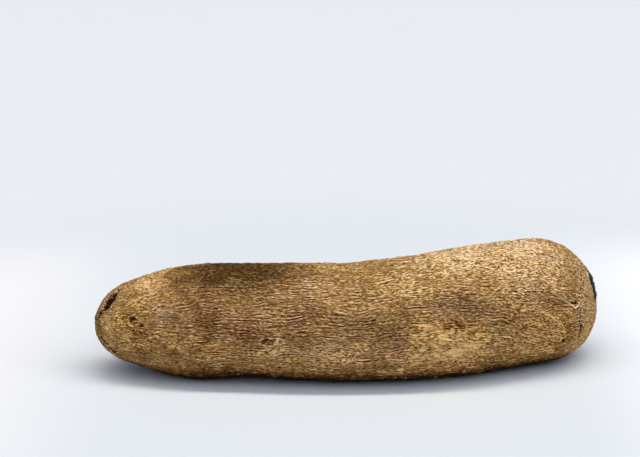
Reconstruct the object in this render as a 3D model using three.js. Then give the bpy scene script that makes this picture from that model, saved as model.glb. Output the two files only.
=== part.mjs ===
// A whole yam tuber lying on its side, as lifted from the ground and brushed clean.
// Millimetres. +X runs along the tuber from its tapered head to its blunt end, +Z is up,
// and the origin is under the middle of the tuber, on the surface that it rests on.
import * as THREE from "three";
import { mergeVertices } from "three/addons/utils/BufferGeometryUtils.js";

// Driving dimensions
const LENGTH = 412; // from end to end
const WIDTH_SHARE = 1.05; // a section's width over its height
const PRESSED = 1.9; // how far its own weight has flattened the belly where it rests
const SOFT_EDGE = 0.6; // how far above and below the surface the flattening fades out
const STEPS_ALONG = 72;
const STEPS_AROUND = 48;

// The tuber's sections, from its head to its blunt end. x is the place along the tuber from
// its middle, back and up are the section's centre, and radius is its size before the ends
// round off.
const SECTIONS = [
  { x: -210, back: 9, up: 41.8, radius: 43.5 },
  { x: -168, back: 8, up: 44, radius: 42.6 },
  { x: -123, back: 6, up: 44.8, radius: 45.8 },
  { x: -83, back: 4, up: 46.3, radius: 45.3 },
  { x: -43, back: 1, up: 46.6, radius: 46.4 },
  { x: -3, back: 0, up: 46.1, radius: 47.1 },
  { x: 37, back: 4, up: 47.1, radius: 48.5 },
  { x: 77, back: 11, up: 49.3, radius: 50.8 },
  { x: 117, back: 23, up: 51.1, radius: 52 },
  { x: 157, back: 39, up: 51.3, radius: 50.2 },
  { x: 210, back: 54, up: 43, radius: 45.8 },
];

// How each end rounds off: over what length, and how bluntly (2 is an ellipse)
const HEAD = { reach: 105, bluntness: 2.4 };
const BLUNT_END = { reach: 53, bluntness: 2.45 };

// Gentle swellings, and hollows where rise is negative. turn is the place around the section
// in degrees: 0 faces back, 90 up, 180 front and 270 down.
const SWELLINGS = [
  { x: -150, turn: 120, along: 30, around: 40, rise: 0.8 },
  { x: -132, turn: 262, along: 22, around: 42, rise: 1.3 },
  { x: -84, turn: 275, along: 20, around: 30, rise: -1.2 },
  { x: -60, turn: 200, along: 34, around: 32, rise: 1 },
  { x: -25, turn: 20, along: 40, around: 45, rise: -1.4 },
  { x: 10, turn: 155, along: 30, around: 30, rise: -0.9 },
  { x: 48, turn: 215, along: 26, around: 30, rise: 1.1 },
  { x: 75, turn: 95, along: 22, around: 35, rise: 0.9 },
  { x: 95, turn: 330, along: 36, around: 40, rise: 1.5 },
  { x: 120, turn: 190, along: 30, around: 34, rise: -0.9 },
  { x: 158, turn: 225, along: 24, around: 30, rise: 0.8 },
  { x: 170, turn: 60, along: 24, around: 40, rise: 1 },
];

// A smooth run of back, up and radius through the sections
const sectionAt = (() => {
  const places = SECTIONS.map((section) => section.x);
  const values = SECTIONS.flatMap((section) => [section.back, section.up, section.radius]);
  const run = new THREE.CubicInterpolant(places, values, 3);
  return (x) => {
    const [back, up, radius] = run.evaluate(x);
    return { back, up, radius };
  };
})();

// 0 at the tip of an end, rising to 1 where the rounding stops
function rounding(fromTip, { reach, bluntness }) {
  const left = 1 - Math.min(Math.max(fromTip / reach, 0), 1);
  return (1 - left ** bluntness) ** (1 / bluntness);
}

// The section's radius at x, with both ends rounded off
function radiusAt(x) {
  const head = rounding(x + LENGTH / 2, HEAD);
  const bluntEnd = rounding(LENGTH / 2 - x, BLUNT_END);
  return sectionAt(x).radius * head * bluntEnd;
}

// How far the swellings lift the skin at a place along and around the tuber
function swellingAt(x, turn) {
  let lift = 0;
  for (const swelling of SWELLINGS) {
    const away = (x - swelling.x) / swelling.along;
    const turned = THREE.MathUtils.euclideanModulo(turn - swelling.turn + 180, 360) - 180;
    const around = turned / swelling.around;
    lift += swelling.rise * Math.exp(-(away * away + around * around));
  }
  return lift;
}

// Presses flat what would lie below the surface, with a soft edge
function pressed(z) {
  if (z <= -SOFT_EDGE) return 0;
  if (z >= SOFT_EDGE) return z;
  return (z + SOFT_EDGE) ** 2 / (4 * SOFT_EDGE);
}

// The tuber turned straight on a lathe, close-set rings at the ends, then bent along its
// spine, swollen and settled on the surface
function tuberGeometry() {
  const profile = [];
  for (let i = 0; i <= STEPS_ALONG; i++) {
    const x = (-LENGTH / 2) * Math.cos((Math.PI * i) / STEPS_ALONG);
    profile.push(new THREE.Vector2(radiusAt(x), x));
  }
  const turned = new THREE.LatheGeometry(profile, STEPS_AROUND);
  turned.deleteAttribute("normal");
  turned.deleteAttribute("uv");
  const geometry = mergeVertices(turned);

  const places = geometry.getAttribute("position");
  for (let i = 0; i < places.count; i++) {
    const x = places.getY(i);
    const radius = Math.hypot(places.getX(i), places.getZ(i));
    const angle = Math.atan2(places.getX(i), places.getZ(i));
    const { back, up } = sectionAt(x);
    const rounded = Math.min(radius / radiusAt(0), 1);
    const reach = radius + rounded * swellingAt(x, THREE.MathUtils.radToDeg(angle));
    places.setXYZ(
      i,
      x,
      back + WIDTH_SHARE * reach * Math.cos(angle),
      up + reach * Math.sin(angle),
    );
  }

  geometry.computeBoundingBox();
  geometry.translate(0, 0, -geometry.boundingBox.min.z - PRESSED);
  for (let i = 0; i < places.count; i++) places.setZ(i, pressed(places.getZ(i)));

  geometry.computeBoundingBox();
  const middle = geometry.boundingBox.getCenter(new THREE.Vector3());
  geometry.translate(-middle.x, -middle.y, 0);
  geometry.computeVertexNormals();
  return geometry;
}

const skin = new THREE.MeshStandardMaterial({ color: 0x8c6a40, roughness: 0.88, metalness: 0 });

const tuber = new THREE.Mesh(tuberGeometry(), skin);
tuber.name = "tuber";

const yam = new THREE.Group();
yam.add(tuber);

export default yam;
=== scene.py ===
"""A yam lying on a pale floor: corky skin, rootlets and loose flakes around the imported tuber."""
import math
import random

import bpy
import numpy as np
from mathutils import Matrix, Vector
from mathutils.bvhtree import BVHTree


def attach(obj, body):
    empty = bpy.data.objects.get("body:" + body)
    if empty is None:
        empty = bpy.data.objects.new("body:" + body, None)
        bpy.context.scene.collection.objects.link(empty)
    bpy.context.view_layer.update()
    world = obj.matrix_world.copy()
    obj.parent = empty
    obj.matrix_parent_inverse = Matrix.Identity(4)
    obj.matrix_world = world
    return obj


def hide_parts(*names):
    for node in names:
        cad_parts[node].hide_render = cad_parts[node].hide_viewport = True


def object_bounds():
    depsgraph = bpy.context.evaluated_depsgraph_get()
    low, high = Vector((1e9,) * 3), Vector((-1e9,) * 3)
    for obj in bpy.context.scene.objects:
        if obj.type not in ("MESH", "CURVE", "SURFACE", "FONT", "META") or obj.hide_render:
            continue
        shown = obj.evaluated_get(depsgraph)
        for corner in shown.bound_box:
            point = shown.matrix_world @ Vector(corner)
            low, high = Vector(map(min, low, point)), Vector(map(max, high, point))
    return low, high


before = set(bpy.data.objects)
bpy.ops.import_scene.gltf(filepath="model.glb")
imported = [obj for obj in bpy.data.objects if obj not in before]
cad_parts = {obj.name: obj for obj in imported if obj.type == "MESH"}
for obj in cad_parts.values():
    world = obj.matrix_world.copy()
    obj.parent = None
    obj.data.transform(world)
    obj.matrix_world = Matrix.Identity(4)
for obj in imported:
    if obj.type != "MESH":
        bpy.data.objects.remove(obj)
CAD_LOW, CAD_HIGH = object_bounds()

MM = 0.001
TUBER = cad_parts["tuber"]

# The skin's mesh
RINGS = 248  # rings of points along the tuber
ROUND = 400  # points around each ring
HEAD_REACH = 62 * MM  # how far from each tip the rings start to turn over the end
BLUNT_REACH = 46 * MM
END_RAYS = 90  # rays from the middle line that turn over each end
SIDE_RAYS = 320  # rays square to the middle line between them
SLICE = 9 * MM  # points this near x belong to the section at x
LINE_POINTS = 25  # sections whose middles give the middle line
LINE_DEGREE = 6  # of the smooth curve through them
OVERLAP = 40  # how many rings each end's far side lends to the blurring
MAP_MARGIN = 0.004  # how far the flat map of the skin stays from its own edges
GIRTH = 47  # the radius in millimetres at which the bark's pattern has its true size
CROWDING = 0.55  # how far the pattern draws together where the ends narrow
TWIST = 0.2  # how far the bark's grain winds around the tuber, in degrees to a millimetre
TWIST_FROM = 60  # the x in millimetres past which it winds
CLOSING = 38  # how many millimetres of the pattern are drawn together lengthwise at the blunt end
CLOSENESS = 0.9  # how much closer it lies there
SEED = 12  # of the loose pieces' random draws


# ---------------------------------------------------------------- node trees


class Value:
    """A number that changes over the skin, as a node's socket. Its arithmetic adds Math nodes."""

    def __init__(self, tree, socket):
        self.tree = tree
        self.socket = socket

    def _by(self, operation, *terms):
        made = self.tree.node("ShaderNodeMath", {"operation": operation}, dict(enumerate(terms)))
        return Value(self.tree, made.outputs[0])

    def __add__(self, other):
        return self._by("ADD", self, other)

    def __radd__(self, other):
        return self._by("ADD", other, self)

    def __sub__(self, other):
        return self._by("SUBTRACT", self, other)

    def __rsub__(self, other):
        return self._by("SUBTRACT", other, self)

    def __mul__(self, other):
        return self._by("MULTIPLY", self, other)

    def __rmul__(self, other):
        return self._by("MULTIPLY", other, self)

    def __truediv__(self, other):
        return self._by("DIVIDE", self, other)

    def __rtruediv__(self, other):
        return self._by("DIVIDE", other, self)

    def __abs__(self):
        return self._by("ABSOLUTE", self)

    def least(self, other):
        return self._by("MINIMUM", self, other)

    def most(self, other):
        return self._by("MAXIMUM", self, other)

    def held(self):
        """Kept between 0 and 1."""
        return self.least(1).most(0)


class Tree:
    """A shader's or a modifier's nodes. Both know the same textures and arithmetic."""

    def __init__(self, nodes):
        self.nodes = nodes

    def node(self, kind, settings=None, inputs=None):
        made = self.nodes.nodes.new(kind)
        for name, setting in (settings or {}).items():
            setattr(made, name, setting)
        for name, given in (inputs or {}).items():
            if isinstance(given, Value):
                given = given.socket
            if isinstance(given, bpy.types.NodeSocket):
                self.nodes.links.new(given, made.inputs[name])
            else:
                made.inputs[name].default_value = given
        return made

    def vector(self, operation, *terms):
        """A Vector Math node's vector."""
        made = self.node("ShaderNodeVectorMath", {"operation": operation}, dict(enumerate(terms)))
        return made.outputs[0]

    def noted(self, name):
        """A vector that the mesh carries under that name, in a shader."""
        return self.node("ShaderNodeAttribute", {"attribute_name": name}).outputs["Vector"]

    def noted_value(self, name):
        """A number that the mesh carries under that name, in a shader."""
        return Value(self, self.node("ShaderNodeAttribute", {"attribute_name": name}).outputs["Fac"])

    def parts(self, vector):
        """A vector's three numbers."""
        made = self.node("ShaderNodeSeparateXYZ", {}, {0: vector})
        return [Value(self, output) for output in made.outputs]

    def dot(self, one, other):
        made = self.node("ShaderNodeVectorMath", {"operation": "DOT_PRODUCT"}, {0: one, 1: other})
        return Value(self, made.outputs["Value"])

    def length(self, vector):
        made = self.node("ShaderNodeVectorMath", {"operation": "LENGTH"}, {0: vector})
        return Value(self, made.outputs["Value"])

    def scaled(self, vector, by):
        made = self.node("ShaderNodeVectorMath", {"operation": "SCALE"}, {0: vector, "Scale": by})
        return made.outputs[0]

    def stretched(self, vector, along, around, shift=(0, 0, 0)):
        """vector in pattern units that are this many millimetres along the tuber and around it."""
        scaled = self.vector("MULTIPLY", vector, (1 / along, 1 / around, 1 / around))
        return self.vector("ADD", scaled, shift)

    def noise(self, vector, detail=2, roughness=0.5):
        """Smooth random patches: outputs 0 is a number and outputs 1 a vector."""
        options = {"Vector": vector, "Scale": 1, "Detail": detail, "Roughness": roughness}
        return self.node("ShaderNodeTexNoise", {}, options)

    def noise_value(self, *terms, **options):
        return Value(self, self.noise(*terms, **options).outputs[0])

    def ripples(self, vector, count, across, sharpness=0.9):
        """Irregular parallel ripples, count of them to each pattern unit in the direction across."""
        options = {"Vector": vector, "Scale": 1, "Frequency": count, "Anisotropy": sharpness}
        options["Orientation 3D"] = across
        made = self.node("ShaderNodeTexGabor", {"gabor_type": "3D"}, options)
        return Value(self, made.outputs[0])

    def sway(self, vector, amount, along, around, shift=(0, 0, 0)):
        """vector moved about at random, smoothly, by up to about half of amount."""
        drift = self.noise(self.stretched(vector, along, around, shift), detail=1).outputs[1]
        centred = self.vector("SUBTRACT", drift, (0.5, 0.5, 0.5))
        return self.vector("ADD", vector, self.scaled(centred, amount))

    def rise(self, value, low, high, least=0, most=1):
        """A smooth step from least at low to most at high."""
        made = self.node(
            "ShaderNodeMapRange",
            {"interpolation_type": "SMOOTHSTEP"},
            {"Value": value, "From Min": low, "From Max": high, "To Min": least, "To Max": most},
        )
        return Value(self, made.outputs["Result"])

    def off_spot(self, point, x, turn, along, across):
        """How far point is from a spot on the skin, counted in the spot's own reach each way."""
        away = self.vector("SUBTRACT", point, on_skin(x, turn))
        return self.length(self.stretched(away, along, across))

    def to_line(self, point, start, end):
        """How far point is from the line between two places, and its share of the way along it."""
        start, end = Vector(start), Vector(end)
        run = end - start
        away = self.vector("SUBTRACT", point, start)
        share = (self.dot(away, run) / run.length_squared).held()
        return self.length(self.vector("SUBTRACT", away, self.scaled(run, share))), share

    def ramp(self, value, colours):
        """The colour at a value from 0 to 1 through evenly spaced colours."""
        made = self.node("ShaderNodeValToRGB", {}, {0: value})
        stops = made.color_ramp.elements
        while len(stops) < len(colours):
            stops.new(0.5)
        for number, colour in enumerate(colours):
            stops[number].position = number / (len(colours) - 1)
            stops[number].color = (*colour, 1)
        return made.outputs[0]

    def mix(self, share, one, other, blend="MIX"):
        """A colour between one and other."""
        made = self.node(
            "ShaderNodeMix", {"data_type": "RGBA", "blend_type": blend}, {0: share, 6: one, 7: other}
        )
        return made.outputs[2]


# ---------------------------------------------------------------- the tuber's surface


TUBER_TREE = BVHTree.FromPolygons(
    [v.co for v in TUBER.data.vertices], [p.vertices for p in TUBER.data.polygons]
)
TUBER_POINTS = np.array([v.co for v in TUBER.data.vertices])


def reach(origin, direction):
    """How far the tuber's surface is from a point inside it, in that direction."""
    return TUBER_TREE.ray_cast(origin, direction)[3]


def middle_at(x):
    """The middle of the tuber's section at x."""
    y, z = TUBER_POINTS[np.abs(TUBER_POINTS[:, 0] - x) < SLICE, 1:].mean(0)
    for _ in range(3):  # centring it one way shifts it a little the other way
        back = reach(Vector((x, y, z)), Vector((0, 1, 0)))
        front = reach(Vector((x, y, z)), Vector((0, -1, 0)))
        y += (back - front) / 2
        up = reach(Vector((x, y, z)), Vector((0, 0, 1)))
        down = reach(Vector((x, y, z)), Vector((0, 0, -1)))
        z += (up - down) / 2
    return Vector((x, y, z))


def on_skin(x, turn):
    """The place in millimetres on the tuber's surface at x, that many degrees around its section."""
    middle = middle_at(x * MM)
    angle = math.radians(turn)
    direction = Vector((0, math.cos(angle), math.sin(angle)))
    return (middle + reach(middle, direction) * direction) / MM


def stations():
    """Where rays start, on the tuber's middle line, and how far each leans from -X.

    They go from the head's tip to the blunt end's.
    """
    head = CAD_LOW.x + HEAD_REACH
    blunt = CAD_HIGH.x - BLUNT_REACH
    square = math.pi / 2
    over_head = np.linspace(0, square, END_RAYS, endpoint=False)
    between_ends = np.linspace(head, blunt, SIDE_RAYS, endpoint=False)
    over_blunt = np.linspace(square, math.pi, END_RAYS + 1)
    starts = [head] * len(over_head) + [*between_ends] + [blunt] * len(over_blunt)
    leans = [*over_head] + [square] * len(between_ends) + [*over_blunt]
    line_x = np.linspace(head, blunt, LINE_POINTS)
    line = np.array([middle_at(x) for x in line_x])
    curves = [np.polyfit(line_x, line[:, axis], LINE_DEGREE) for axis in (1, 2)]
    smooth_y, smooth_z = [np.polyval(curve, starts) for curve in curves]
    return np.stack([starts, smooth_y, smooth_z], 1), np.array(leans)


def directions(leans, turns):
    """Unit vectors for each lean and turn. Turn 0 is back, a quarter is up."""
    along = np.repeat(-np.cos(leans)[:, None], len(turns), 1)
    around = np.sin(leans)[:, None]
    return np.stack([along, around * np.cos(turns), around * np.sin(turns)], 2)


def blurred(field, steps_along, steps_around):
    """field smoothed along and around the tuber. Over each tip it goes on down the other side."""
    count, turns = field.shape
    pad = min(OVERLAP, count - 1)
    over = np.roll(field, turns // 2, axis=1)
    whole = np.concatenate([over[pad:0:-1], field, over[-2 : -pad - 2 : -1]])
    waves_along = np.fft.fftfreq(len(whole))[:, None] * steps_along
    waves_around = np.fft.fftfreq(turns)[None] * steps_around
    keep = np.exp(-2 * math.pi**2 * (waves_along**2 + waves_around**2))
    return np.fft.ifft2(np.fft.fft2(whole) * keep).real[pad : pad + count]


def smooth_surface():
    """The tuber's surface without its facets.

    Gives the place of each point by ring and turn, how far along the skin each ring is, and its radius.
    """
    origins, leans = stations()
    turns = np.linspace(0, 2 * math.pi, ROUND // 2, endpoint=False)
    rays = directions(leans, turns)
    distances = np.array([[reach(Vector(o), Vector(d)) for d in row] for o, row in zip(origins, rays)])
    distances = blurred(distances, steps_along=5, steps_around=3)

    places = origins[:, None] + distances[..., None] * rays
    steps = np.linalg.norm(np.diff(places, axis=0), axis=2).mean(1)
    along = np.concatenate([[0], np.cumsum(steps)])
    wanted = np.linspace(0, along[-1], RINGS + 2)
    at = np.interp(wanted, along, np.arange(len(along)))

    def between(values):
        """values at the wanted rings."""
        low = np.clip(np.floor(at).astype(int), 0, len(values) - 2)
        share = (at - low).reshape(-1, *[1] * (values.ndim - 1))
        return values[low] * (1 - share) + values[low + 1] * share

    origins, leans, distances = between(origins), between(leans), between(distances)
    all_turns = np.linspace(0, 2 * math.pi, ROUND, endpoint=False)
    closed_turns = np.append(turns, 2 * math.pi)
    fine = np.stack([np.interp(all_turns, closed_turns, np.append(row, row[0])) for row in distances])
    fine = blurred(fine, steps_along=1.2, steps_around=2.2)
    places = origins[:, None] + fine[..., None] * directions(leans, all_turns)
    places[..., 2] = np.maximum(places[..., 2], 0)
    radius = (fine * np.sin(leans)[:, None]).mean(1)
    return places, wanted, radius


def skin_mesh():
    """A closed mesh over the tuber. Each of its points notes its own place and its place in the grain."""
    places, along, radius = smooth_surface()
    rings, turns = RINGS, ROUND
    points = np.concatenate([places[:1, 0], places[1:-1].reshape(-1, 3), places[-1:, 0]])
    first = 1
    last = 1 + rings * turns

    def at(ring, turn):
        """The number of the point at that ring and turn."""
        return first + ring * turns + turn % turns

    faces = [(0, at(0, t + 1), at(0, t)) for t in range(turns)]
    for low, high in zip(range(rings), range(1, rings)):
        faces += [(at(low, t), at(low, t + 1), at(high, t + 1), at(high, t)) for t in range(turns)]
    faces += [(last, at(rings - 1, t), at(rings - 1, t + 1)) for t in range(turns)]

    mesh = bpy.data.meshes.new("yam_skin")
    mesh.from_pydata(points.tolist(), [], faces)
    mesh.polygons.foreach_set("use_smooth", np.ones(len(faces), bool))

    angle = np.linspace(0, 2 * math.pi, turns, endpoint=False)
    girth = GIRTH * (np.maximum(radius, 0) / MM / GIRTH) ** CROWDING
    run = along / MM
    run = run + CLOSENESS * np.maximum(run - run[-1] + CLOSING, 0)
    past = places[:, :, 0].mean(1) / MM - TWIST_FROM
    wound = angle[None] - math.radians(TWIST) * np.maximum(past, 0)[:, None]
    length = np.repeat(run[:, None], turns, 1)
    grain = np.stack([length, girth[:, None] * np.cos(wound), girth[:, None] * np.sin(wound)], 2)
    grain = np.concatenate([grain[:1, 0], grain[1:-1].reshape(-1, 3), grain[-1:, 0]])
    note(mesh, "grain", grain)
    note(mesh, "place", points / MM)

    unwrapped(mesh, along / along[-1])
    return mesh


def note(mesh, name, vectors):
    """Writes a vector on each of the mesh's points."""
    layer = mesh.attributes.new(name, "FLOAT_VECTOR", "POINT")
    layer.data.foreach_set("vector", np.asarray(vectors, np.float32).ravel())


def unwrapped(mesh, shares):
    """A flat map of the skin for its bake, slit along one line at its back and open at both tips."""
    layer = mesh.uv_layers.new(name="OFBake")
    corner_points = np.zeros(len(mesh.loops), np.int32)
    mesh.loops.foreach_get("vertex_index", corner_points)
    last = RINGS * ROUND + 1
    ring = np.where(corner_points == last, RINGS + 1, 0)
    inner = (corner_points > 0) & (corner_points < last)
    ring[inner] = (corner_points[inner] - 1) // ROUND + 1
    turn = np.zeros(len(corner_points))
    turn[inner] = (corner_points[inner] - 1) % ROUND
    starts = np.zeros(len(mesh.polygons), np.int32)
    totals = np.zeros(len(mesh.polygons), np.int32)
    mesh.polygons.foreach_get("loop_start", starts)
    mesh.polygons.foreach_get("loop_total", totals)
    face = np.repeat(np.arange(len(starts)), totals)
    # A face past the last turn joins the slit's far edge
    highest = np.maximum.reduceat(np.where(inner, turn, 0), starts)[face]
    turn = np.where(inner & (highest == ROUND - 1) & (turn == 0), ROUND, turn)
    # A tip's corner lies midway between the other two of its face
    sums = np.add.reduceat(np.where(inner, turn, 0), starts)[face]
    counts = np.add.reduceat(inner.astype(int), starts)[face]
    turn = np.where(inner, turn, sums / counts)
    uv = MAP_MARGIN + (1 - 2 * MAP_MARGIN) * np.stack([shares[ring], turn / ROUND], 1)
    layer.uv.foreach_set("vector", uv.astype(np.float32).ravel())


# ---------------------------------------------------------------- the bark


# Broad patches of the skin, a few of them partly painted light or shade. Each has the place of its middle as
# x in millimetres and its turn around the section in degrees (0 faces back, 90 up, 180 front and 270 down),
# its reach along and across the tuber, then how much paler it is, in doublings, how much redder and yellower,
# and how much more rippled.
PATCHES = {
    # paler on top: partly the skin's own pale crown, partly painted light falling from above
    "pale crown, partly painted top light": (123, 108, 66, 36, 1.25, 0, 0, -0.2),
    "crown's front": (73, 112, 40, 24, 0.55, -0.1, 0, 0),
    # paler blunt rim: partly the skin's own pale rim, partly painted light on the end
    "blunt rim, partly painted side light": (200, 174, 16, 36, 1.8, 0.35, 0.4, -0.5),
    "ochre field": (80, 188, 38, 17, 1.2, 1.9, 1.8, -0.2),
    "plum edge of the ochre": (38, 186, 12, 16, -0.3, 0.3, -0.7, 0.2),
    "golden ripples": (-25, 132, 34, 15, 0.0, 0.2, 0, 0.5),
    "golden brow": (37, 129, 22, 13, 0.5, 0, 0.1, 0.4),
    # the back of the neck: partly darker skin, partly painted shadow cast from above onto the top of the neck
    "back of the neck, dark skin and painted shadow": (-93, 102, 66, 30, -1.4, -0.55, -0.4, -0.5),
    "red band": (-113, 158, 13, 24, -0.6, 0.5, -0.1, 0.4),
    "pale shoulder": (-161, 111, 27, 18, 1.0, 0.5, 0.4, -0.4),
    "rusty chin": (-188, 178, 19, 22, 1.25, 0.4, 0.6, -0.5),
    "smooth cheek": (-171, 150, 26, 18, 0.0, 0.3, 0.5, -0.7),
    "olive stain": (24, 168, 38, 10, -0.35, -0.3, -0.3, -0.2),
    "russet field": (-83, 170, 24, 13, -0.3, 0.5, -0.1, 0.3),
    "low gold at the neck": (-133, 184, 24, 10, 0.5, 0.3, 0.3, -0.3),
    "low fleck": (-57, 190, 12, 8, 0.5, 0, 0.3, 0),
    "low gold in the middle": (-11, 194, 27, 12, 0.8, 0.6, -0.2, -0.2),
    "low pink": (34, 195, 20, 9, 0.4, 0.3, -0.1, 0.2),
    "grey smudge": (88, 160, 34, 12, -0.55, 0.1, -1.0, 0),
    "purple smudge": (-39, 156, 12, 9, -0.2, 0.5, -0.7, 0.2),
    "grey cheek": (-141, 160, 14, 9, -0.3, 0, -0.7, 0),
    "tawny side": (149, 196, 38, 26, 0.6, 0.95, 0.7, -0.6),
    "brown of the neck": (-70, 155, 75, 36, -0.25, -0.1, -0.35, 0.1),
    "low ochre edge": (86, 209, 50, 16, 0.65, 0.3, 0.4, 0),
    "granular side": (144, 164, 42, 18, 0, 0, 0, -0.7),
    "stranded front": (-45, 188, 90, 30, 0, 0, 0, 0.35),
    "stranded belly": (0, 214, 120, 22, 0, 0, 0, 0.35),
    "dim back of the head": (-112, 122, 13, 18, -0.2, 0, 0, 0.2),
    "gold jaw": (-170, 188, 11, 10, 0.3, 0.2, 0.2, 0),
    "gold cheek": (-151, 158, 12, 10, 0.35, 0, 0, 0),
    "brown before the scar": (-74, 176, 17, 9, -0.35, 0, 0, 0),
    "pale spot of the ripples": (1, 125, 10, 8, 0.4, 0, 0, 0),
    "brown under the pale spot": (20, 134, 12, 9, -0.3, 0, 0, 0),
    "brown beside the stain": (40, 158, 11, 8, -0.35, 0, 0, 0),
    "low gold before the ochre": (47, 201, 13, 8, 0.6, 0.4, 0.3, 0),
    "brown edge of the ochre": (55, 183, 8, 9, -0.4, 0.3, 0, 0),
    "gold beside the pit": (162, 192, 15, 9, 0.35, 0.3, 0.2, 0),
    "gold before the scar": (-57, 162, 12, 7, 0.3, 0, 0.2, 0),
    "brown over the ochre": (89, 178, 28, 9, -0.9, 0.2, 0.2, 0),
    "brown before the lip": (169, 164, 20, 10, -0.5, 0, 0, 0),
    "ashen neck": (-98, 124, 18, 8, 0.4, -0.3, -0.3, 0),
    "pale ripples": (-18, 134, 17, 15, 0.5, -0.1, 0, 0),
    "low edge of the ochre": (88, 202, 34, 10, 0.55, 0.2, 0.3, 0),
    "brown cheek": (-131, 149, 14, 13, -0.65, 0, 0.1, 0),
    "brown at the tip": (-186, 150, 9, 9, -0.35, 0, 0, 0),
    "olive gap": (-104, 159, 12, 9, -0.35, -0.5, 0.2, 0),
    "brown streak": (-47, 172, 21, 8, -0.5, 0, 0, 0),
    # painted shade on the underside of the neck, close to the floor
    "painted shade under the neck": (-103, 217, 42, 13, -0.3, 0.1, 0, 0),
    "low pale ripples": (0, 205, 15, 9, 0.5, 0.2, 0.1, 0),
    "pale chin of the blunt end": (186, 218, 17, 22, 0.9, 0.3, 0.2, 0),
    "olive fleck": (-46, 150, 9, 8, 0, -0.7, 0.4, 0),
    "red jaw": (-169, 177, 14, 10, 0, 0.5, 0.4, 0),
    "low russet at the neck": (-106, 189, 19, 9, 0.25, 0.5, 0.4, 0),
    "brown under the brow": (46, 147, 13, 8, -0.3, 0, 0, 0),
}


def patchwork(tree, grain, place):
    """How much paler, redder and yellower than its middle tone the skin is at each place, and how rippled."""
    wandering = tree.sway(tree.sway(place, 18, 24, 24, (4, 4, 4)), 8, 7, 5, (1, 5, 9))
    broad = tree.noise_value(tree.stretched(grain, 60, 30, (2, 2, 2)), detail=3, roughness=0.55) - 0.5
    hues = tree.noise(tree.stretched(wandering, 17, 11, (7, 7, 1)), detail=2, roughness=0.5).outputs[1]
    hue = [tree.dot(hues, axis) - 0.5 for axis in ((1, 0, 0), (0, 1, 0), (0, 0, 1))]
    fine_hues = tree.noise(tree.stretched(wandering, 4.2, 2.6, (2, 8, 3)), detail=1).outputs[1]
    fine_hue = [tree.dot(fine_hues, axis) - 0.5 for axis in ((1, 0, 0), (0, 1, 0))]
    mottles = tree.noise_value(tree.stretched(wandering, 14, 9, (3, 9, 5)), detail=2, roughness=0.55) - 0.5
    along_tuber, _, height = tree.parts(place)
    at_head = tree.rise(along_tuber, -70, -125)
    painted_belly_shade = tree.rise(height, 19, 3)  # the lowest 19 mm, darker towards the floor: painted shade where the belly meets the floor
    # redder and yellower low down and less red on top: painted colour of the light, warm bounce low, whiter
    # on top
    low = tree.rise(height, 64, 30)
    paler = broad * 1.6 - painted_belly_shade * 2.2
    redder = hue[0] * 2.1 + fine_hue[0] * 2.2 + low * 0.5 - tree.rise(height, 75, 95) * 0.15
    yellower = hue[1] * 1.5 + fine_hue[1] * 2.6 + low * 0.3
    rippled = hue[2] * 1.8 + 0.5
    for x, turn, along, across, *changes in PATCHES.values():
        share = tree.rise(tree.off_spot(wandering, x, turn, along, across), 1.25, 0.35)
        paler, redder, yellower, rippled = [
            value + share * change if change else value
            for value, change in zip((paler, redder, yellower, rippled), changes)
        ]
    paler = paler + mottles * (at_head * 1.7 + yellower.held() * 2.3 + 0.2)
    return paler, redder, yellower, rippled.held()


# Torn places in the skin: the line that each follows, as x, turn and half width at each of its points, then
# its depth and how far its edges stand up
CRACKS = {
    "split at the head": (
        [(-185, 107, 1.0), (-188, 113, 4.0), (-191.5, 119, 6.4), (-194.2, 127, 5.8), (-194, 134, 2.2)],
        3.8, 0.9,
    ),
    "tail of the split": (
        [(-195, 131, 3.0), (-197.5, 136, 2.0), (-200.5, 143, 2.6), (-203, 152, 1.6)],
        2.4, 0.6,
    ),
    "seam under the head": (
        [(-199, 194, 0.6), (-195, 202, 1.8), (-192, 210, 1.2), (-189, 217, 2.4), (-186, 224, 1.4)],
        1.8, 0.9,
    ),
    "tick under the swirl": ([(-170.2, 170, 0.3), (-170.3, 174, 0.5), (-170.2, 178, 0.3)], 0.7, 0.2),
    "small tear": ([(-169, 175.3, 0.3), (-164, 176, 0.7), (-159, 178, 0.5)], 0.9, 0.3),
    "second tear": ([(-160, 184, 0.3), (-156.6, 185.3, 0.8), (-153, 184, 0.3)], 0.9, 0.2),
    "line to the lip": (
        [(128, 151, 0.2), (137, 153.2, 0.4), (147, 154, 0.4), (159, 155.4, 0.5), (166, 158, 0.4)],
        0.7, 0.25,
    ),
    "hollow of the lip": (
        [(175.5, 163, 0.3), (178, 164, 0.8), (181, 165, 1.2), (183, 161, 0.4)],
        1.8, 0.3,
    ),
    "edge of the dome": (
        [(184, 172, 0.3), (186.4, 183, 0.5), (187.4, 190, 1.0), (186, 198, 0.4)],
        1.0, 0.3,
    ),
}

# Root scars: x and turn of the middle of each, its reach along and across, its depth, how far its rim stands
# up, what share of its depth a bud beside its middle fills, and how dark it is
SCARS = {
    "swirl": (-171, 162, 3.7, 3.5, 1.2, 0.8, 0.85, 0.5),
    "spot by the swirl": (-163.5, 167, 1.8, 1.3, 0.9, 0.2, 0, 0.5),
    "oval scar": (-64.5, 183, 5.6, 2.8, 0.8, 0.9, 0.6, 0.42),
    "low pit": (172.3, 203, 2.0, 2.4, 1.8, 0.5, 0, 0.6),
    "spot on the dome": (190, 140, 1.5, 1.5, 0.9, 0.2, 0, 0.6),
    "low spot on the dome": (199, 219, 1.3, 1.3, 0.9, 0.2, 0, 0.6),
    "pit on the shoulder": (-185.5, 161, 1.8, 3.0, 0.9, 0.3, 0.7, 0.5),
    "hole in the gold chip": (61, 193.5, 1.1, 1.0, 0.7, 0.1, 0, 0.5),
    "hole beside it": (76.6, 194.5, 1.3, 1.1, 0.8, 0.1, 0, 0.5),
}

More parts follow.
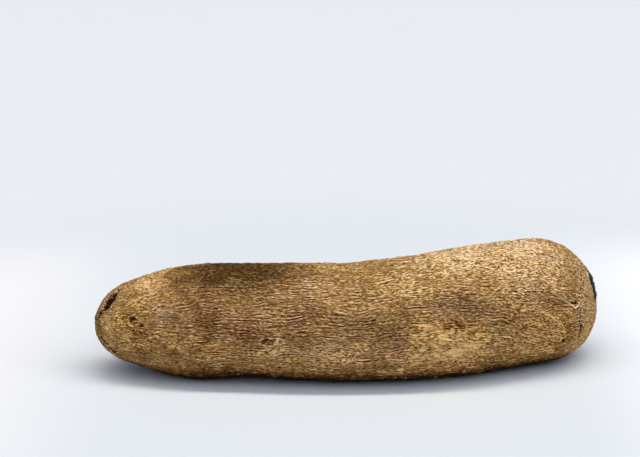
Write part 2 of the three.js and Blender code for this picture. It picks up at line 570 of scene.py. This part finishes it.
# Chips where pale flesh shows: x and turn of the middle of each and its reach along and across
CHIPS = {
    "chip under the cheek": (-128, 195.5, 1.9, 0.9),
    "chip on the cheek": (-147.5, 163, 1.0, 0.8),
    "edge of the oval scar": (-56.5, 179.5, 1.1, 1.9),
    "chip by the swirl": (-168, 158, 0.9, 0.7),
    "chip on the brow": (49, 130, 1.2, 0.7),
}

# Small places where the outermost bark has come off or been left standing: x and turn of the middle of each,
# its reach along and across, then how much paler, redder and yellower it is
PEELED = {
    "edge of the ochre": (79, 187.5, 35, 17, 0.4, 0.4, 0.5),
    "upper chip of the ochre": (58, 172, 6.5, 3.0, 0.75, 0.2, 0.4),
    "second upper chip": (68.5, 174, 3.6, 2.2, 0.9, 0.1, -0.2),
    "brown gap": (60, 181, 1.7, 4.6, -1.1, 0.5, 0.1),
    "brown above the ochre": (80, 175, 9, 4.4, -0.8, 1.2, 0.3),
    "drop in the brown": (79, 178, 1.9, 2.4, 1.3, 0.3, 0.3),
    "middle of the ochre": (73, 185, 5.5, 1.8, 0.6, 0, 0.4),
    "big gold chip": (63.5, 199, 9.5, 3.8, 0.45, -0.3, 0.6),
    "second gold chip": (98, 195.8, 6, 2.6, 0.6, -0.2, 0.6),
    "orange grains": (96, 187, 11, 6, -0.35, 1.6, 0.6),
    "red edge": (51, 190.5, 4, 4.6, -0.6, 1.2, 0.3),
    "bright chip at the edge": (55, 193.5, 2.0, 1.5, 1.3, 0.2, -0.2),
    "low chip": (84, 199, 5.5, 2.2, 0.35, 0, 0.3),
    "brown beside the middle": (84, 189, 4.0, 2.4, -0.6, 0.4, 0.2),
    "low brown": (73, 205, 7, 2.0, -0.5, 0.3, 0.2),
}


def damage(tree, place):
    """Cracks, root scars, chips and peeled places.

    Gives the relief they cut in millimetres, how deep inside one a place is, how fresh it is, and how much
    paler, redder and yellower the peeling makes it.
    """
    ragged = tree.sway(tree.sway(place, 1.6, 3.4, 3.4, (6, 6, 2)), 0.9, 1.1, 1.1, (4, 9, 9))
    strips = tree.noise_value(tree.stretched(ragged, 5, 2.2, (2, 4, 7)), detail=1)
    strips = tree.rise(strips, 0.58, 0.66) * 0.6
    relief, torn, fresh = 0, 0, 0
    for line, depth, lip in CRACKS.values():
        inside, edge = None, None
        points = [(on_skin(x, turn), half_width) for x, turn, half_width in line]
        for (start, first), (end, last) in zip(points, points[1:]):
            away, share = tree.to_line(ragged, start, end)
            half_width = share * (last - first) + first
            here = tree.rise(away / half_width, 1.2, 0.5)
            beside = tree.rise(away - half_width, 1.8, 0.2)
            inside = inside.most(here) if inside else here
            edge = edge.most(beside) if edge else beside
        edge = edge * (1 - inside)
        relief = relief + edge * lip - inside * (1 - strips * 0.6) * depth
        torn = inside * (1 - strips) + torn
        fresh = edge * (lip * 0.8) + fresh
    for x, turn, along, across, depth, rim, bud, dark in SCARS.values():
        away = tree.off_spot(ragged, x, turn, along, across)
        inside = tree.rise(away, 1.1, 0.8)
        edge = tree.rise(away, 1.7, 1.1) * (1 - inside)
        if bud:
            aside = tree.off_spot(ragged, x + along * 0.22, turn + across * 0.3, along, across)
            inside = inside * (1 - tree.rise(aside, 0.8, 0.35) * bud)
        relief = relief + edge * rim - inside * depth
        torn = inside * dark + torn
        fresh = edge * rim + fresh
    for chip in CHIPS.values():
        fresh = tree.rise(tree.off_spot(ragged, *chip), 1.3, 0.7) * 1.8 + fresh
    peeled = [0, 0, 0]
    for x, turn, along, across, *changes in PEELED.values():
        share = tree.rise(tree.off_spot(ragged, x, turn, along, across), 1.2, 0.8)
        peeled = [share * change + value if change else value for value, change in zip(peeled, changes)]
    return relief, torn.held(), fresh, peeled


def swells(tree, grain):
    """The broad relief of the tuber in millimetres, and the grain's drift from its straight course."""
    drifted = tree.sway(grain, 7, 34, 18)
    waved = tree.sway(drifted, 3.4, 15, 8, (3, 1, 7))
    lumps = tree.noise_value(tree.stretched(grain, 26, 19, (5, 2, 8)), detail=2) - 0.5
    rolls = tree.noise_value(tree.stretched(drifted, 24, 6, (1, 9, 4)), detail=1) - 0.5
    return lumps * 2.6 + rolls * 1.6, waved


def bark(tree, grain, waved, paler, yellower, rippled):
    """The bark's ripples and its finer grain as relief in millimetres, its tone, and where it is rubbed off.

    The tone is in doublings. Each pattern has its two lengths in millimetres, along the grain and around the
    tuber.
    """
    around = tree.vector("ADD", tree.vector("CROSS_PRODUCT", (1, 0, 0), grain), (0.02, 0, 0))
    around = tree.vector("NORMALIZE", around)
    short = tree.ripples(tree.stretched(waved, 6.8, 3.6, (2, 6, 5)), 1.75, around, 0.84) - 0.5
    long = tree.ripples(tree.stretched(waved, 12, 4.1, (7, 3, 1)), 1.85, around, 0.92) - 0.5
    ripples = short * (1.1 - rippled * 0.6) + long * (rippled * 0.7 + 0.35)
    crests = tree.rise(ripples, 0.08, 0.2)
    dark_and_shaded_furrows = tree.rise(ripples, -0.1, -0.22)
    cracked = tree.noise_value(tree.stretched(waved, 3.8, 1.5, (6, 1, 9)), detail=1, roughness=0.5) - 0.5
    threads = tree.noise_value(tree.stretched(waved, 3.0, 0.72, (2, 6, 5)), detail=0)
    threads = tree.rise(threads, 0.36, 0.64) - 0.5
    grit = tree.noise_value(tree.stretched(grain, 1.3, 1.0, (8, 6, 5)), detail=0)
    grit = tree.rise(grit, 0.34, 0.66) - 0.5
    dashes = tree.noise_value(tree.stretched(waved, 6.5, 1.15, (4, 8, 1)), detail=1)
    fissures = tree.rise(dashes, 0.31, 0.24)
    flecks = tree.noise_value(tree.stretched(grain, 3.2, 1.1, (9, 2, 2)), detail=1)
    flecks = tree.rise(flecks, 0.7, 0.77)
    scuffs = tree.noise_value(tree.stretched(waved, 8, 3.6, (1, 3, 9)), detail=3, roughness=0.6)
    rubbed = tree.rise(scuffs + yellower * 0.09, 0.58, 0.62)
    wrinkled = tree.noise_value(tree.stretched(waved, 12, 2.3, (5, 5, 3)), detail=0)
    creases = tree.rise(abs(wrinkled - 0.5), 0.06, 0.015)
    creases = creases * tree.rise(scuffs, 0.4, 0.6)

    plain = 1 - rippled
    crisp = paler.held()
    ridges = ripples * (rippled * 0.5 + 0.42) * (1 - crisp * 0.35) + cracked * (plain * 0.2 + 0.05)
    grain_relief = threads * 0.35 + grit * plain * 0.3 - fissures * 0.7 - rubbed * 0.3
    grain_relief = grain_relief + cracked * plain * (0.7 - crisp * 0.3)
    grain_relief = grain_relief - creases * (plain * 0.3 + 0.1) - creases * crisp * 0.3
    # the tone follows the ripples' relief: paler crests, darker furrows, whose dark is partly the bark's own,
    # partly painted shade
    tone = ridges * (2.5 - crisp * 0.9) + (crests * 0.75 - dark_and_shaded_furrows * 0.9) * (rippled * 0.75 + 0.2)
    tone = tone + threads * (1.32 + crisp * 0.85) + grit * (plain * 0.4 + crisp * 0.2 + 0.15)
    tone = tone - fissures * 1.3 + (flecks * 0.6 + rubbed * 0.6) * (1 - crisp * 0.5)
    tone = tone - creases * (plain * 0.3 + yellower.held() * 0.6 + crisp * 1.6 + 0.1)
    tone = tone + (tree.rise(scuffs, 0.42, 0.58) - 0.5) * yellower.held() * 1.1
    run = tree.parts(grain)[0]
    calm = tree.rise(run, 150, 80) * 0.18 - tree.rise(run, 405, 435) * 0.5  # bolder over the blunt end
    return ripples * 2.1, grain_relief, tone * (1 - calm), rubbed


def tree_of(material):
    material.use_nodes = True
    material.node_tree.nodes.clear()
    return Tree(material.node_tree)


def grown_relief(mesh):
    """The mesh with the bark's relief as real shape."""
    piece = bpy.data.objects.new("smooth_skin", mesh)
    bpy.context.scene.collection.objects.link(piece)
    group = bpy.data.node_groups.new("bark_relief", "GeometryNodeTree")
    group.interface.new_socket("Geometry", in_out="INPUT", socket_type="NodeSocketGeometry")
    group.interface.new_socket("Geometry", in_out="OUTPUT", socket_type="NodeSocketGeometry")
    tree = Tree(group)
    entry = tree.node("NodeGroupInput")
    vectors = {"data_type": "FLOAT_VECTOR"}
    grain, place = [
        tree.node("GeometryNodeInputNamedAttribute", vectors, {"Name": name}).outputs[0]
        for name in ("grain", "place")
    ]
    paler, redder, yellower, rippled = patchwork(tree, grain, place)
    broad, waved = swells(tree, grain)
    rippling, grain_relief = bark(tree, grain, waved, paler, yellower, rippled)[:2]
    fine = grain_relief + damage(tree, place)[0]
    cast = tree.node("ShaderNodeCombineXYZ", {}, {0: paler, 1: redder, 2: yellower}).outputs[0]
    made = entry.outputs[0]
    for name, kind, value in (
        ("lifted", "FLOAT", fine),
        ("rippled", "FLOAT", rippled),
        ("waved", "FLOAT_VECTOR", waved),
        ("cast", "FLOAT_VECTOR", cast),
    ):
        stored = tree.node(
            "GeometryNodeStoreNamedAttribute",
            {"data_type": kind, "domain": "POINT"},
            {"Geometry": made, "Name": name, "Value": value},
        )
        made = stored.outputs[0]
    normal = tree.node("GeometryNodeInputNormal").outputs[0]
    offset = tree.scaled(normal, (broad + rippling + fine) * MM)
    moved = tree.node("GeometryNodeSetPosition", {}, {"Geometry": made, "Offset": offset})
    tree.node("NodeGroupOutput", {}, {0: moved.outputs[0]})

    modifier = piece.modifiers.new("bark_relief", "NODES")
    modifier.node_group = group
    depsgraph = bpy.context.evaluated_depsgraph_get()
    grown = bpy.data.meshes.new_from_object(piece.evaluated_get(depsgraph), depsgraph=depsgraph)
    bpy.data.objects.remove(piece)
    return grown


# The bark's colours from darkest to palest, in even steps over four doublings of its tone
GOLDEN_BARK = [
    (0.034, 0.0165, 0.0045), (0.071, 0.036, 0.0102), (0.134, 0.076, 0.0235), (0.246, 0.149, 0.0505),
    (0.392, 0.26, 0.101), (0.568, 0.404, 0.202), (0.70, 0.535, 0.315),
]
RUSSET_BARK = [
    (0.036, 0.0135, 0.0035), (0.078, 0.03, 0.0092), (0.149, 0.066, 0.0226), (0.264, 0.13, 0.051),
    (0.422, 0.23, 0.099), (0.608, 0.358, 0.192), (0.745, 0.49, 0.305),
]
ASHEN = (1, 1, 1.2, 1)
TAWNY = (1, 0.965, 0.62, 1)
DARK_SPLIT = (0.016, 0.006, 0.003, 1)


def covered(tree, colour, height, depth=1, roughness=0.85, gloss=0.02):
    """Ends a material with its colour, its height in millimetres, how deep that looks, and its finish."""
    bump = tree.node("ShaderNodeBump", {}, {"Strength": depth, "Distance": MM, "Height": height})
    finish = {"Base Color": colour, "Roughness": roughness, "Specular IOR Level": gloss}
    finish["Normal"] = bump.outputs[0]
    shader = tree.node("ShaderNodeBsdfPrincipled", {}, finish)
    tree.node("ShaderNodeOutputMaterial", {}, {"Surface": shader.outputs[0]})


def corky_skin():
    """Brown bark, pale on its ridges and dark in its fissures, with painted shade in the furrows of its
    ripples.
    """
    material = bpy.data.materials.new("corky_skin")
    tree = tree_of(material)
    grain, place, waved, cast = [tree.noted(name) for name in ("grain", "place", "waved", "cast")]
    lifted, rippled = [tree.noted_value(name) for name in ("lifted", "rippled")]
    paler, redder, yellower = tree.parts(cast)
    grain_relief, tone, rubbed = bark(tree, grain, waved, paler, yellower, rippled)[1:]
    notches, torn, fresh, peeled = damage(tree, place)
    tone = tone + paler + fresh + peeled[0] - torn * 1.6 + 0.02
    redder = redder + torn * 1.4 + peeled[1]
    yellower = yellower + rubbed * 0.5 - fresh * 0.5 + peeled[2]
    share = tone * 0.25 + 0.5
    golden = tree.ramp(share, GOLDEN_BARK)
    russet = tree.ramp(share, RUSSET_BARK)
    colour = tree.mix((redder * 0.5 + 0.5).held(), golden, russet)
    tint = tree.mix((yellower * 0.5 + 0.51).held(), ASHEN, TAWNY)
    colour = tree.mix(1, colour, tint, "MULTIPLY")
    colour = tree.mix(tree.rise(torn - tone * 0.06, 0.35, 0.7), colour, DARK_SPLIT)

    covered(tree, colour, grain_relief + notches - lifted)  # the mesh already has what was lifted
    return material


def yam_skin():
    """The whole tuber's skin, in place of its plain CAD surface."""
    mesh = grown_relief(skin_mesh())
    mesh.name = "yam_skin"
    mesh.materials.clear()
    mesh.materials.append(corky_skin())
    piece = bpy.data.objects.new("yam_skin", mesh)
    bpy.context.scene.collection.objects.link(piece)
    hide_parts("tuber")
    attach(piece, "root")
    return piece


# ---------------------------------------------------------------- what stands on the skin


def closed_piece(name, points, faces, material):
    """A piece of the tuber that moves with it."""
    mesh = bpy.data.meshes.new(name)
    mesh.from_pydata([tuple(p) for p in points], [], faces)
    mesh.materials.append(material)
    piece = bpy.data.objects.new(name, mesh)
    bpy.context.scene.collection.objects.link(piece)
    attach(piece, "root")


def footing(skin, x, turn):
    """The place on the grown skin at x and turn, and the directions along, across and out of it there."""
    middle = middle_at(x * MM)
    angle = math.radians(turn)
    place, outward = skin.ray_cast(middle, Vector((0, math.cos(angle), math.sin(angle))))[:2]
    along = (Vector((1, 0, 0)) - outward.x * outward).normalized()
    return place, along, outward.cross(along), outward


def strand(points, faces, line, radii, sides, chance):
    """Adds a closed strand along line to points and faces, a little lumpy, with a blunt point at each tip."""
    first = len(points)
    for number, (place, radius) in enumerate(zip(line, radii)):
        run = (line[min(number + 1, len(line) - 1)] - line[max(number - 1, 0)]).normalized()
        side = run.cross(Vector((0, 0, 1))).normalized()
        other = run.cross(side)
        for step in range(sides):
            angle = 2 * math.pi * step / sides
            lump = radius * chance.uniform(0.85, 1.2)
            points.append(place + lump * (math.cos(angle) * side + math.sin(angle) * other))
    for ring in range(len(line) - 1):
        for step in range(sides):
            after = (step + 1) % sides
            low, high = first + ring * sides, first + (ring + 1) * sides
            faces.append((low + step, low + after, high + after, high + step))
    start, end = len(points), len(points) + 1
    points.append(line[0] - (line[1] - line[0]).normalized() * radii[0])
    points.append(line[-1] + (line[-1] - line[-2]).normalized() * radii[-1])
    last = first + (len(line) - 1) * sides
    for step in range(sides):
        after = (step + 1) % sides
        faces.append((start, first + after, first + step))
        faces.append((end, last + step, last + after))


def over_skin(skin, course, lift, spacing):
    """Places along a course of x and turn over the skin, standing off it by lift, that far apart."""
    line = []
    for (x, turn), (next_x, next_turn) in zip(course, course[1:]):
        for share in np.arange(0, 1, spacing):
            at = (x + (next_x - x) * share, turn + (next_turn - turn) * share)
            place, _, _, outward = footing(skin, *at)
            line.append(place + lift * MM * outward)
    place, _, _, outward = footing(skin, *course[-1])
    return line + [place + lift * MM * outward]


def curled_lip(skin, material, chance):
    """The thin edge of skin that has curled up over the hollow near the blunt end."""
    course = [(159, 155), (167.5, 159.4), (172.7, 163.3), (177.2, 166.3), (180.9, 169.1)]
    course += [(184.2, 166), (186.2, 160.5)]
    line = over_skin(skin, course, 0.1, 0.25)
    shares = np.linspace(0, 1, len(line))
    radii = [(0.22 + 0.5 * math.sin(math.pi * share**1.6)) * MM for share in shares]
    points, faces = [], []
    strand(points, faces, line, radii, 7, chance)
    closed_piece("curled_lip", points, faces, material)


def blunt_scab(skin, material, chance):
    """The black crust at the edge of the blunt end."""
    course = [(196.3, 108), (197.4, 114), (199.2, 124), (200.5, 137), (202.4, 147), (203, 152)]
    line = over_skin(skin, course, 0.4, 0.2)
    shares = np.linspace(0, 1, len(line))
    widths = [0.7 + 1.9 * math.sin(math.pi * share) for share in shares]
    radii = [width * chance.uniform(0.6, 1.2) * MM for width in widths]
    points, faces = [], []
    strand(points, faces, line, radii, 9, chance)
    closed_piece("blunt_scab", points, faces, material)


def rootlets(skin, material, chance):
    """Fine dry roots, each held to the skin at one end and standing a little off it at the other."""
    points, faces = [], []
    count, steps = 64, 9
    for _ in range(count):
        x, turn = chance.uniform(-185, 185), chance.uniform(0, 360)
        heading = chance.choice((-1, 1)) * chance.uniform(0.5, 1.2)
        length = chance.uniform(5, 15)
        thick = chance.uniform(0.22, 0.42)
        lifted = chance.uniform(0.3, 2.2)
        line, radii = [], []
        wander = chance.uniform(-1, 1)
        for step in range(steps):
            share = step / (steps - 1)
            place, _, _, outward = footing(skin, x, turn)
            line.append(place + (thick * 0.6 + lifted * share**2) * MM * outward)
            radii.append(thick * (1 - 0.6 * share) * MM)
            wander += chance.uniform(-0.5, 0.5)
            x += heading * length / steps
            turn += wander * length / steps
            x = min(max(x, -198), 196)  # stays off both tips
        if min(place.z for place in line) > 4 * MM:  # none lies under the belly
            strand(points, faces, line, radii, 5, chance)
    closed_piece("rootlets", points, faces, material)


def bark_flakes(skin, material, chance):
    """Small loose scales of bark, closest together where the skin is scuffed."""
    points, faces = [], []
    corners = 7
    fields = [  # how many scales, and the least and most of their x, turn and size
        (210, (-192, 194), (0, 360), (0.4, 1.0)),
        (120, (40, 150), (180, 214), (0.5, 1.3)),
        (50, (-180, -110), (170, 212), (0.6, 1.2)),
    ]
    spots = [
        [chance.uniform(*limits) for limits in field] for count, *field in fields for _ in range(count)
    ]
    for x, turn, size in spots:
        place, along, across, outward = footing(skin, x, turn)
        if place.z < 5 * MM:  # none lies under the belly
            continue
        stretch = chance.uniform(1.2, 2.4)
        tilt = chance.uniform(0.1, 0.45)
        lean = chance.uniform(0, 2 * math.pi)
        skew = chance.uniform(-0.4, 0.4)
        first = len(points)
        rim = []
        for number in range(corners):
            angle = 2 * math.pi * number / corners
            radius = size * chance.uniform(0.65, 1.15)
            run, side = stretch * radius * math.cos(angle), radius * math.sin(angle)
            raised = 0.12 + tilt * size * (1 + math.cos(angle - lean)) / 2
            rim.append((place + (run * along + (side + skew * run) * across) * MM, raised))
        for edge, raised in rim:
            points.append(edge + raised * MM * outward)
        for edge, raised in rim:
            points.append(edge - 0.35 * MM * outward)
        points.append(place + (0.3 + tilt * size * 0.5) * MM * outward)
        points.append(place - 0.4 * MM * outward)
        for number in range(corners):
            after = (number + 1) % corners
            faces.append((first + number, first + after, first + 2 * corners))
            faces.append((first + number, first + corners + number, first + corners + after, first + after))
            faces.append((first + corners + after, first + corners + number, first + 2 * corners + 1))
    closed_piece("bark_flakes", points, faces, material)


def place_in_mm(tree):
    """The place in millimetres, in a shader."""
    return tree.scaled(tree.node("ShaderNodeTexCoord").outputs["Object"], 1 / MM)


def loose_bark(name, least, most):
    """Dry bark and rootlet, from the tone least to the tone most, in doublings."""
    material = bpy.data.materials.new(name)
    tree = tree_of(material)
    place = place_in_mm(tree)
    blotches = tree.noise_value(tree.stretched(place, 3.5, 3.5), detail=2, roughness=0.6)
    hues = tree.noise_value(tree.stretched(place, 9, 9, (3, 3, 3)), detail=1)
    share = tree.rise(blotches, 0.3, 0.7, least * 0.25 + 0.5, most * 0.25 + 0.5)
    golden = tree.ramp(share, GOLDEN_BARK)
    russet = tree.ramp(share, RUSSET_BARK)
    colour = tree.mix(tree.rise(hues, 0.4, 0.6), golden, russet)
    rough = tree.noise_value(tree.stretched(place, 0.9, 0.5), detail=1)
    covered(tree, colour, rough * 0.4, depth=0.6)
    return material


def black_crust():
    """Dried dark crust, almost black."""
    material = bpy.data.materials.new("black_crust")
    tree = tree_of(material)
    blotches = tree.noise_value(tree.stretched(place_in_mm(tree), 1.6, 1.6), detail=2, roughness=0.6)
    colour = tree.mix(tree.rise(blotches, 0.5, 0.75), (0.008, 0.006, 0.005, 1), (0.06, 0.035, 0.018, 1))
    covered(tree, colour, blotches * 1.5, roughness=0.6, gloss=0.3)
    return material


def loose_pieces(skin_piece):
    """Everything that stands on the skin."""
    mesh = skin_piece.data
    skin = BVHTree.FromPolygons([v.co for v in mesh.vertices], [p.vertices for p in mesh.polygons])
    chance = random.Random(SEED)
    curled_lip(skin, loose_bark("pale_lip", 0.6, 1.8), chance)
    blunt_scab(skin, black_crust(), chance)
    rootlets(skin, loose_bark("dry_rootlet", -0.4, 1.2), chance)
    bark_flakes(skin, loose_bark("flaking_bark", -0.2, 1.1), chance)


# ---------------------------------------------------------------- the studio


WARM_LIGHT = (1, 0.965, 0.915)
COOL_LIGHT = (0.9, 0.94, 1.03)
COOLEST_LIGHT = (0.89, 0.945, 1.05)


def floor():
    """A pale sheet with painted light: paler beside the tuber's two ends, most beside the blunt end, and
    painted shade a little dimmer in front of it.
    """
    mesh = bpy.data.meshes.new("floor")
    half = 30
    corners = [(-half, -half, 0), (half, -half, 0), (half, half, 0), (-half, half, 0)]
    mesh.from_pydata(corners, [], [(0, 1, 2, 3)])
    sheet = bpy.data.objects.new("floor", mesh)
    bpy.context.scene.collection.objects.link(sheet)
    material = bpy.data.materials.new("pale_floor")
    tree = tree_of(material)
    place = tree.node("ShaderNodeTexCoord").outputs["Object"]
    along, back, _ = tree.parts(place)
    # painted light: a paler floor beside both ends; painted shade: a dimmer tone close to the tuber
    beside = tree.rise(abs(along), 0.16, 0.34) * tree.rise(abs(back), 0.5, 0.2)
    lit_beside_head, lit_beside_blunt_end = (0.634, 0.619, 0.605, 1), (0.722, 0.726, 0.72, 1)
    near, far = (0.518, 0.543, 0.547, 1), (0.55, 0.56, 0.56, 1)
    ends = tree.mix(tree.rise(along, -0.25, 0.25), lit_beside_head, lit_beside_blunt_end)
    colour = tree.mix(beside, near, ends)
    colour = tree.mix(tree.rise(tree.length(place), 0.4, 0.7), colour, far)
    shader = tree.node("ShaderNodeBsdfPrincipled", {}, {"Base Color": colour, "Roughness": 0.7})
    tree.node("ShaderNodeOutputMaterial", {}, {"Surface": shader.outputs[0]})
    mesh.materials.append(material)


def lamp(name, direction, strength, spread, colour):
    """A soft far-off lamp that shines along direction and fills spread degrees of the sky."""
    light = bpy.data.lights.new(name, "SUN")
    light.energy = strength
    light.angle = math.radians(spread)
    light.color = colour
    holder = bpy.data.objects.new(name, light)
    holder.rotation_mode = "QUATERNION"
    holder.rotation_quaternion = Vector(direction).to_track_quat("-Z", "Y")
    bpy.context.scene.collection.objects.link(holder)


def studio():
    """Strip lights in a row overhead, soft lamps in front and at both sides, and a room palest low down."""
    scene = bpy.context.scene
    scene.view_settings.view_transform = "Standard"
    world = bpy.data.worlds.new("soft_room")
    scene.world = world
    world.use_nodes = True
    tree = Tree(world.node_tree)
    world.node_tree.nodes.clear()
    direction = tree.node("ShaderNodeTexCoord").outputs["Generated"]
    height = tree.dot(direction, (0, 0, 1))
    ceiling, walls, backdrop = (0.155, 0.172, 0.243, 1), (0.446, 0.472, 0.59, 1), (0.81, 0.84, 0.865, 1)
    room = tree.mix(tree.rise(height, 0.22, 0.06), ceiling, walls)
    seen = Value(tree, tree.node("ShaderNodeLightPath").outputs["Is Camera Ray"])
    colour = tree.mix(seen, room, backdrop)
    sky = tree.node("ShaderNodeBackground", {}, {"Color": colour, "Strength": 1})
    tree.node("ShaderNodeOutputWorld", {}, {"Surface": sky.outputs[0]})
    step = 9  # degrees from one strip to the next, and the spread of each, so that they join into a row
    for lean in range(-45, 45 + 1, step):
        slant = math.radians(lean)
        strength = 0.485 * math.cos(slant) ** 6 * (1 - 0.12 * math.sin(slant))
        towards = (math.tan(slant) - 0.08, 0.085, -1)
        lamp("strip_light", towards, strength, spread=step, colour=WARM_LIGHT)
    lamp("front_light", (0, 0.69, -0.72), strength=1.22, spread=50, colour=COOLEST_LIGHT)
    lamp("left_light", (0.62, 0.32, -0.62), strength=0.41, spread=40, colour=COOL_LIGHT)
    lamp("right_light", (-0.62, 0.32, -0.62), strength=0.94, spread=40, colour=COOL_LIGHT)


def camera():
    """Looks down on the tuber's front from a little above, like someone standing at a table."""
    lens = bpy.data.cameras.new("camera")
    lens.lens = 85
    lens.sensor_width = 36
    holder = bpy.data.objects.new("camera", lens)
    bpy.context.scene.collection.objects.link(holder)
    aim = Vector((-0.024, CAD_LOW.y + 0.0619, CAD_HIGH.z + 0.0168))
    height_angle = math.radians(15)
    distance = 1.209
    away = Vector((0, -math.cos(height_angle), math.sin(height_angle)))
    holder.location = aim + distance * away
    holder.rotation_mode = "QUATERNION"
    holder.rotation_quaternion = (-away).to_track_quat("-Z", "Y")
    lens.clip_start = 0.05
    lens.clip_end = 60
    bpy.context.scene.camera = holder


camera()
studio()
floor()
loose_pieces(yam_skin())
